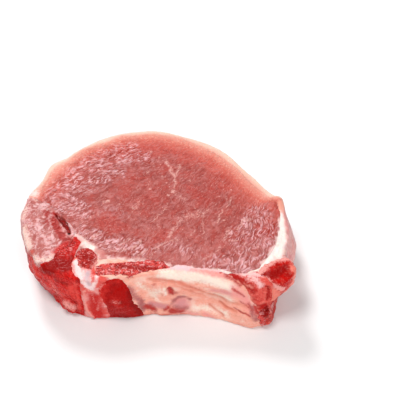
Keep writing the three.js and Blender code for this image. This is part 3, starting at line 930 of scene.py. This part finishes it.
# The sawn spine bone at the lower left and the red meat that hangs down its side
archBone = {
    **redMeat,
    "name": "archBone",
    "lumps": [(9, 0.6, 53), (4, 0.4, 54), (1.8, 0.15, 55)],
    "relief": [
        (3, 1.2, [(-42, -38.5, 6), (-38, -40, 4.5)]), (3, 0.8, [(-50, -35, 9), (-47, -36.5, 6)]),
    ],
    "ragged": [(6, 0.8, [(-48, -37, 3), (-38, -41, 2)])],
    "mottle": 0.8,
    "colour": (0.62, 0.010, 0.008),
    "lightColour": (0.78, 0.07, 0.055),
    "sponge": [(6, 1, [(-38, -22, 28), (-41, -26, 28), (-43, -30, 28), (-41.5, -33, 28)])],
    "dark": [
        (4.6, 1.5, [(-47, -34.5, 27), (-43, -33, 28), (-39, -34, 28)]),
        (2.6, 0.9, [(-37, -30, 28), (-38, -35, 28)]),
        (2.2, 0.8, [(-44, -28, 28), (-46, -31, 28)]),
        (4, 0.5, [(-52, -31, 10), (-44, -38, 3)]), (2.5, 0.6, [(-36, -40, 10), (-35, -41, 3)]),
        (2, 0.7, [(-43, -38, 23), (-39, -39.5, 22)]),
    ],
    "light": [
        (4, 0.7, [(-54, -30, 24), (-52, -33, 17), (-50, -35, 12)]),
        (3.5, 0.6, [(-46, -37, 18), (-42, -39, 12)]),
        (3, 0.7, [(-38, -40, 21), (-36.5, -40.5, 15)]),
        (1.8, 0.8, [(-35.5, -40, 25), (-35, -41, 16), (-34.5, -42, 4)]),
    ],
    "pale": [
        (3, 0.8, [(-40.5, -39.5, 8), (-37.5, -40.5, 6.5)]),
        (1.2, 0.6, [(-54, -29, 25.5), (-52, -31.5, 24.5)]),
        (1.2, 0.5, [(-35, -36, 28.5), (-35, -31, 28.5)]), (2, 0.35, [(-46, -36.5, 17), (-45, -37, 11)]),
    ],
}
processBone = {
    **redMeat,
    "name": "processBone",
    "spongeAll": 1.0,
    "lumps": [(3, 0.3, 56), (1.5, 0.15, 57)],
    "marrowColour": (0.48, 0.028, 0.022),
    "pale": [
        (3.4, 0.9, [(-26, -34, 28), (-24, -30, 28)]), (1.2, 0.5, [(-33, -33, 28), (-31, -37, 28)]),
    ],
    "dark": [
        (2.5, 0.7, [(-31, -29, 28), (-28, -31.5, 28)]),
        (1.6, 0.7, [(-32, -34.5, 28), (-29.5, -36.5, 28)]),
    ],
}
ribBone = {
    **redMeat,
    "name": "ribBone",
    "voxel": 0.34,
    "spongeAll": 1.0,
    "lumps": [(3, 0.25, 58), (1.3, 0.15, 59)],
    "colour": (0.5, 0.04, 0.035),
    "marrowColour": (0.72, 0.085, 0.075),
    "speckColour": (0.88, 0.40, 0.39),
    "ragged": [(7, 1.2, [(50, -44, 9), (46, -47, 2)])],
    "pale": [
        (2, 1.1, [(51.5, -44, 10), (52, -44, 7)]), (2, 0.9, [(44, -48, 3), (47, -47.5, 2)]),
        (1.2, 0.6, [(47.5, -46, 6), (49, -45.5, 7)]),
    ],
    "dark": [
        (3.4, 1.4, [(44.5, -46.5, 12.5), (47.5, -45.5, 12.5), (48, -46, 9.5)]),
        (1.4, 0.8, [(46, -47, 4), (48, -46.5, 3)]),
        (2, 0.7, [(-18, -34.5, 28), (0, -35, 28)]),
    ],
}
vertebraBone = {
    **redMeat,
    "name": "vertebraBone",
    "lumps": [(7, 0.35, 61), (2.5, 0.1, 62)],
    "fineBump": 0.08,
    "mottle": 0.25,
    "gloss": 0.07,
    "colour": (0.41, 0.003, 0.002),
    "darkColour": (0.27, 0.002, 0.001),
    "lightColour": (0.62, 0.022, 0.017),
    "light": [
        (4.5, 1, [(-24, -41.5, 24), (-26, -42.5, 18), (-25.5, -42.5, 8), (-24, -43, 0)]),
        (2.4, 0.5, [(-18.5, -43.5, 17), (-17, -43.5, 10)]),
        (2, 0.6, [(-20, -41, 26), (-15, -40.5, 26)]),
    ],
    "pale": [
        (1.4, 0.5, [(-19, -43.5, 14.5), (-17, -43.5, 14)]),
        (1.6, 0.6, [(-23.5, -41, 25), (-26, -42, 20)]),
    ],
    "dark": [
        (3, 1, [(-12, -41, 18), (-10, -42, 10), (-8, -42, 3)]),
        (3, 0.5, [(-20, -43.5, 3), (-12, -43.5, 1)]),
    ],
}
flankMeat = {
    **redMeat,
    "name": "flankMeat",
    "colour": (0.52, 0.006, 0.004),
    "fineBump": 0.2,
    "mottle": 0.3,
    "lumps": [(5, 0.4, 63), (2, 0.2, 64)],
    "lightColour": (0.88, 0.25, 0.19),
    "light": [
        (4.5, 1.1, [(60, -35, 27), (60, -38, 22), (58, -41, 17)]),
        (4, 1.1, [(50, -43.5, 22), (52, -43.5, 17), (50, -44, 13)]),
    ],
    "dark": [
        (3.4, 1, [(46, -39, 28), (50, -39, 28), (56, -35, 28)]),
        (3.4, 1.1, [(58, -32, 17), (57, -38, 17), (54, -42, 16)]),
    ],
    "pale": [
        (1.8, 1, [(43, -37, 28), (48, -33.5, 28), (53, -31, 28), (58, -30, 28), (61, -32, 27)]),
        (2.6, 1.1, [(43, -38, 28), (46.5, -35.5, 28)]),
        (2.4, 1.1, [(46, -41, 27.5), (51, -43, 26), (54.5, -42.5, 22.5)]),
        (1.2, 0.6, [(61, -34, 26), (60.5, -37, 22)]), (4, 1.2, [(59.5, -30.5, 26), (59.5, -30.5, 16)]),
    ],
}
ribMeat = {
    **redMeat,
    "name": "ribMeat",
    "colour": (0.72, 0.095, 0.075),
    "darkColour": (0.44, 0.012, 0.01),
    "lightColour": (0.88, 0.28, 0.22),
    "paleColour": (0.94, 0.58, 0.56),
    "lumps": [(5, 0.4, 65), (2, 0.2, 66)],
    "relief": [
        (1.8, -0.9, [(47.5, -43, 25), (48.5, -43, 21), (48.5, -44, 17)]),
        (3, 0.6, [(43, -43.5, 23), (44, -44.5, 17)]),
    ],
    "dark": [
        (2.4, 1.2, [(31, -38.5, 28), (35, -40, 27.5), (38.5, -41.5, 25.5), (41.5, -43, 22.5)]),
        (1.2, 0.8, [(40, -42, 26.5), (43, -43.5, 22.5)]),
        (1.2, 1, [(47.5, -43, 25), (48.5, -43, 21), (48.5, -44, 17)]),
        (2.4, 1.3, [(43.5, -45, 14), (47.5, -45, 13.5)]),
        (5, 1.3, [(57, -33, 16), (56, -38, 15), (53, -42, 14)]),
        (4.5, 0.8, [(56, -37, 8), (53, -40, 3)]),
    ],
    "light": [
        (3, 0.7, [(41, -43, 17), (43, -44, 12)]), (2, 0.6, [(36, -42, 26), (41, -42, 24)]),
        (2.6, 1, [(32, -41, 23.5), (38, -43, 18), (43, -45.5, 11)]),
    ],
    "pale": [
        (1.4, 1, [(29, -37, 28.5), (35, -37.5, 28.5)]),
        (2, 1.3, [(35, -37.5, 28.5), (41, -38.5, 28.5), (46, -38.5, 28.5)]),
        (2.4, 0.9, [(40, -40, 28), (43, -41, 27.5), (45, -42.5, 25.5)]),
        (4, 1.1, [(57.5, -32.5, 14), (57.5, -32.5, 1)]),
        (2.4, 0.6, [(56, -38, 10), (54, -40, 4)]),
    ],
}
for nodeName, part in {
    "arch_bone": archBone,
    "process_bone": processBone,
    "rib_bone": ribBone,
    "vertebra_bone": vertebraBone,
    "flank_meat": flankMeat,
    "intercostal_meat": ribMeat,
}.items():
    makeRedPiece(nodeName, part)

# The white lining of the marrow canal, with blood-stained meat at its foot
canalLining = {
    "voxel": 0.35,
    "lumps": [(5, 0.3, 71), (2, 0.15, 72)],
    "relief": [
        (2.2, -0.8, [(-30, -39, 28), (-30, -40.5, 26)]),
        (1.8, 0.7, [(-32, -41, 20), (-32, -41, 12.5), (-31, -42, 6), (-28, -43, 0)]),
    ],
    "threadStretch": (1, 1, 0.3),
    "fray": {"grey": 0.5},
    "gloss": 0.1,
    "colour": (0.78, 0.11, 0.09),
    "pinkColour": (0.88, 0.33, 0.29),
    "whiteColour": (0.97, 0.70, 0.68),
    "greyColour": (0.68, 0.47, 0.495),
    "redColour": (0.60, 0.018, 0.014),
    "white": [
        (2.2, 1.2, [(-35, -32, 28.5), (-33.5, -37, 28.5), (-32.5, -40, 27.5), (-28.5, -42, 22)]),
        (4, 0.8, [(-31.5, -38, 28.5), (-29.5, -41, 26.5)]),
        (1.5, 1.1, [(-25.5, -40, 28), (-27, -42, 25), (-28.5, -42, 22)]),
    ],
    "grey": [(2, 0.9, [(-29.5, -37, 28.5), (-30, -40, 27.5), (-29, -41.5, 25.5)])],
    "red": [
        (4.2, 1.3, [(-27.5, -42.5, 16), (-27, -43, 9), (-26.5, -43, 2)]),
        (2, 1.3, [(-35.5, -39, 22), (-34.5, -41, 14), (-34.5, -42, 2)]), (1.4, 0.9, [(-27, -38, 28.5)]),
    ],
    "pink": [
        (1.2, 1.1, [(-31.5, -41.5, 20), (-32, -42, 13), (-31.5, -42, 7), (-29, -43, 2)]),
        (1.1, 0.6, [(-28.5, -42, 18), (-27.5, -42.5, 12)]),
        (1.2, 0.5, [(-25.5, -43, 14), (-26.5, -43, 7)]),
        (2.2, 0.8, [(-29, -42, 20.5), (-26, -42, 20)]),
    ],
}

# The pale lining of the rib, which faces the camera
ribLining = {
    "voxel": 0.4,
    "lumps": [(8, 0.5, 81), (3, 0.2, 82)],
    "relief": [
        (4, 1.1, [(3, -37.5, 26), (11, -37.5, 25.5), (20, -38.5, 26), (28, -40, 24), (33, -41.5, 21.5)]),
        (2.4, -0.3, [(-3, -38, 24), (10, -39, 22.5), (16.5, -39.5, 18.5), (23, -39.5, 14)]),
        (2.4, -0.3, [(23, -39.5, 14), (30, -41, 12.5), (40, -45, 13)]),
        (2.4, -0.9, [(5.5, -39, 18), (6.5, -39, 14.5)]),
        (1.4, 0.8, [(4.5, -39, 21.5), (3, -39, 18.5), (3, -39, 14)]),
        (5.5, 0.8, [(10.5, -40, 7)]),
        (2.4, -0.3, [(5, -40.5, 7), (6.5, -40, 10), (9, -39.5, 12), (12.5, -39.5, 12), (15.5, -40, 9)]),
        (1.6, -0.3, [(23, -40, 7.5), (25.5, -41.5, 5.5), (29, -43, 3.5)]),
        (1.6, -0.35, [(27.5, -40.5, 10), (31, -42.5, 8.5), (34.5, -44.5, 8.5)]),
        (1.6, -0.35, [(34, -44, 10), (37.5, -45.5, 9), (40.5, -47, 9)]),
        (2, 0.7, [(1.5, -39, 16), (3, -39, 20.5), (6, -39, 22.5)]),
        (2.6, 0.8, [(16, -40, 4), (22, -41, 10)]),
    ],
    "threadStretch": (0.3, 1, 1),
    "fray": {"orange": 0.5, "darkLine": 0.5, "grey": 0.5},
    "gloss": 0.22,
    "colour": (0.96, 0.42, 0.32),
    "creamColour": (1.0, 0.80, 0.69),
    "pinkColour": (0.90, 0.34, 0.31),
    "orangeColour": (0.74, 0.19, 0.12),
    "redColour": (0.50, 0.035, 0.028),
    "greyColour": (0.70, 0.28, 0.28),
    "mauveColour": (0.46, 0.13, 0.125),
    "lineColour": (0.50, 0.15, 0.14),
    "lilacColour": (0.92, 0.56, 0.57),
    "lilac": [
        (2.6, 1.4, [(3, -33.5, 28.5), (10, -34.5, 28.5), (17, -35.5, 28.5)]),
        (1.6, 1.1, [(17, -35.5, 28.5), (24, -36.5, 28.5), (30, -37.5, 28.5)]),
    ],
    "cream": [
        (1.2, 0.8, [(3.5, -39, 20), (3.5, -39, 14)]), (2.4, 0.6, [(11, -39.5, 8)]),
        (4.6, 1, [(3, -37.5, 26), (11, -37.5, 25.5), (20, -38.5, 26), (28, -40, 24), (33, -41.5, 21.5)]),
        (3.6, 0.6, [(-2, -39, 14), (2, -39, 18)]),
        (3.6, 0.7, [(16, -40, 6), (21, -40.5, 6), (30, -43, 5)]),
        (2, 0.6, [(-8, -39.5, 22), (-3, -39, 15), (0, -39.5, 10)]),
        (3.8, 0.7, [(22, -40, 14.5), (32, -42, 14)]),
    ],
    "orange": [
        (2.4, 0.7, [(-3, -38, 24), (3.5, -38, 24), (10, -39, 22.5), (16.5, -39.5, 18.5)]),
        (2.4, 0.7, [(16.5, -39.5, 18.5), (23, -39.5, 14), (30, -41, 12.5)]),
        (2, 0.6, [(30, -41, 12.5), (40, -45, 13)]),
        (1.8, 0.6, [(8, -38.5, 21), (14, -39, 17), (21, -39.5, 12.5)]),
        (1.4, 0.7, [(23, -40, 7.5), (25.5, -41.5, 5.5), (29, -43, 3.5)]),
        (1.4, 0.8, [(27.5, -40.5, 10), (31, -42.5, 8.5), (34.5, -44.5, 8.5)]),
    ],
    "red": [
        (1.5, 0.6, [(-1, -38.5, 21)]), (2.2, 1.1, [(5.5, -39, 18), (6.5, -39, 14.5)]),
        (2.6, 0.6, [(8, -39, 15)]),
        (1.8, 0.9, [(30, -38.5, 28), (33, -40.5, 26.5), (36, -41.5, 24)]),
        (1.8, 1, [(43, -45.5, 13.5), (44, -46.5, 10.5)]),
        (2.8, 1.2, [(6, -41, 4), (10.5, -41, 4)]), (2.6, 1, [(-5, -40, 6), (-2, -40, 4)]),
        (1.8, 0.9, [(3, -40.5, 4.5), (4.5, -40.5, 6)]),
        (1.1, 0.9, [(34, -44, 10), (37.5, -45.5, 9), (40.5, -47, 9)]),
        (1.0, 0.6, [(-12.5, -39, 26.5), (-10, -39, 26)]),
        (1.2, 0.7, [(33, -41.5, 22.5), (38, -43, 18)]),
        (1, 0.6, [(36, -43, 15), (42, -46, 11.5)]), (1.6, 0.6, [(40, -44.5, 14.5), (43, -46, 9)]),
        (1.6, 0.6, [(-6, -41, 1), (12, -41, 1)]),
    ],
    "grey": [
        (6.5, 1, [(10.5, -40, 7.5)]), (2.8, 1.1, [(-3, -40, 7.5), (3, -40.5, 6.5)]),
        (3, 0.4, [(25, -40.5, 18.5), (31, -41.5, 18.5)]),
        (2, 0.7, [(-6, -40, 8), (-7, -40, 2)]),
    ],
    "mauve": [
        (2.6, 1.1, [(-12, -40, 20), (-10, -40, 15), (-7.5, -40, 10), (-7, -40, 5)]),
        (1.6, 0.7, [(-3.5, -40, 7), (-1, -40, 3)]), (2, 0.7, [(8, -40.5, 6.5), (12.5, -40.5, 6)]),
        (2.2, 0.9, [(41.5, -45.5, 13.5), (42, -46.5, 10), (43.5, -48, 7)]),
    ],
    "darkLine": [
        (1.3, 0.9, [(6, -40, 7), (7, -39.5, 9.5), (9, -39.5, 11.5), (11.5, -39, 12)]),
        (1.3, 0.9, [(11.5, -39, 12), (13, -39.5, 11.5), (14.5, -39.5, 10)]),
        (1.5, 1, [(7, -37, 28.5), (13, -37, 28.5), (18, -37.5, 28.5)]),
    ],
    "pink": [
        (3.8, 0.8, [(25, -40.5, 18.5), (31.5, -41.5, 18.5), (36, -42.5, 18.5)]),
        (2.2, 0.7, [(21, -41.5, 2.5), (25, -42.5, 1)]),
        (4.5, 0.9, [(34, -42, 21.5), (38, -43, 17), (42, -45, 11)]),
        (1.6, 0.8, [(8, -39.5, 10), (12, -39.5, 10)]), (2, 0.8, [(13, -41, 2.5), (17, -41, 2)]),
        (1.8, 1.1, [(15, -36.5, 28.5), (23, -37.5, 28), (30, -39, 27.5), (33, -40.5, 26.5)]),
    ],
}


def membrane(name, part, layers):
    material = newMaterial(name)
    tree = material.node_tree
    place = inMillimetres(tree)
    broad = lumps(tree, place, 5, 3, 0.6, (0.6, 1, 1.2))
    fine = lumps(tree, place, 0.8, 3, 0.6)
    thread = lumps(tree, place, 1.2, 3, 0.6, part["threadStretch"], 0.8)
    covers = []
    for mask, colourName in layers:
        covers.append((frayed(tree, mask, fine, part["fray"].get(mask, 1)), part[colourName]))
    pale = part.get("creamColour") or part["whiteColour"]
    deep = part.get("orangeColour") or part["redColour"]
    colour = layered(
        tree, part["colour"],
        (ranged(tree, broad, 0.45, 0.7, 0, 0.5), pale),
        (ranged(tree, thread, 0.5, 0.32, 0, 0.35), deep),
        *covers,
        (ranged(tree, fine, 0.66, 0.8, 0, 0.4), pale),
    )
    height = maths(tree, "ADD", thread, times(tree, fine, 0.5))
    wetSurface(tree, colour, ranged(tree, fine, 0.3, 0.7, 0.22, 0.4), height, 0.35, 0.3, part["gloss"])
    return material


def makeMembranePiece(nodeName, pieceName, part, layers):
    piece = copyOfNode(nodeName, pieceName)
    closeSeams(piece, nodeName)
    refine(piece, part["voxel"], 2)
    points = readPoints(piece)
    raiseSurface(piece, relief(points, part["lumps"], part["relief"]))
    for mask, colourName in layers:
        paint(piece, mask, brush(points, part[mask], 0.3))
    finishPiece(piece, nodeName, membrane(pieceName + "Finish", part, layers))


canalLayers = [
    ("red", "redColour"), ("pink", "pinkColour"), ("white", "whiteColour"), ("grey", "greyColour"),
]
makeMembranePiece("canal_lining", "canalLining", canalLining, canalLayers)
ribLayers = [
    ("cream", "creamColour"), ("lilac", "lilacColour"), ("pink", "pinkColour"),
    ("orange", "orangeColour"),
    ("grey", "greyColour"),
    ("mauve", "mauveColour"), ("red", "redColour"), ("darkLine", "lineColour"),
]
makeMembranePiece("rib_lining", "ribLining", ribLining, ribLayers)

print("chop: all pieces done")
